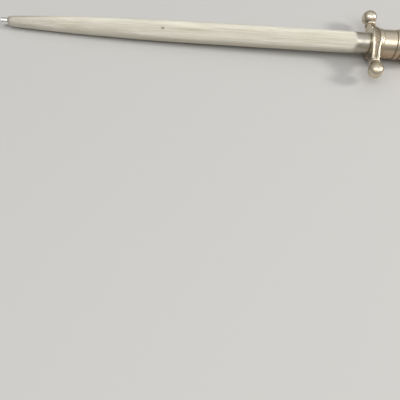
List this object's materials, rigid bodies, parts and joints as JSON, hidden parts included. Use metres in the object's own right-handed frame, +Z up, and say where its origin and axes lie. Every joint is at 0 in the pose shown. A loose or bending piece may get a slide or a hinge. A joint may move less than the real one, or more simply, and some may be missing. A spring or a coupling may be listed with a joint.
{
  "type": "knife sharpening steel",
  "caption": "Round tapered sharpening steel with a polished nib, fluted crossguard with ball finials, ringed ferrule and a stag-antler handle with a metal butt cap.",
  "frame": {"origin": "On the table plane under the middle of the whole steel's length and width, as it lies at rest on its rod and its butt cap.", "axes": "+X runs from the tip to the butt (the steel's own axis climbs 1.48 degrees towards the butt), +Y points along one guard arm, +Z is up from the table."},
  "size_m": [0.3426, 0.0458, 0.0246],
  "materials": {
    "ribbed_steel": "satin",
    "nickel_silver": "polished",
    "antler": "satin",
    "cement": "matte",
    "zinc_steel": "satin"
  },
  "bodies": {
    "root": {"steel_rod": "ribbed_steel", "crossguard": "nickel_silver", "ferrule": "nickel_silver", "stag_grip": "antler", "tang_cement": "cement", "tang_washer": "zinc_steel", "tang_nut": "zinc_steel", "cap_cement": "cement", "butt_cap": "nickel_silver"}
  },
  "joints": []
}
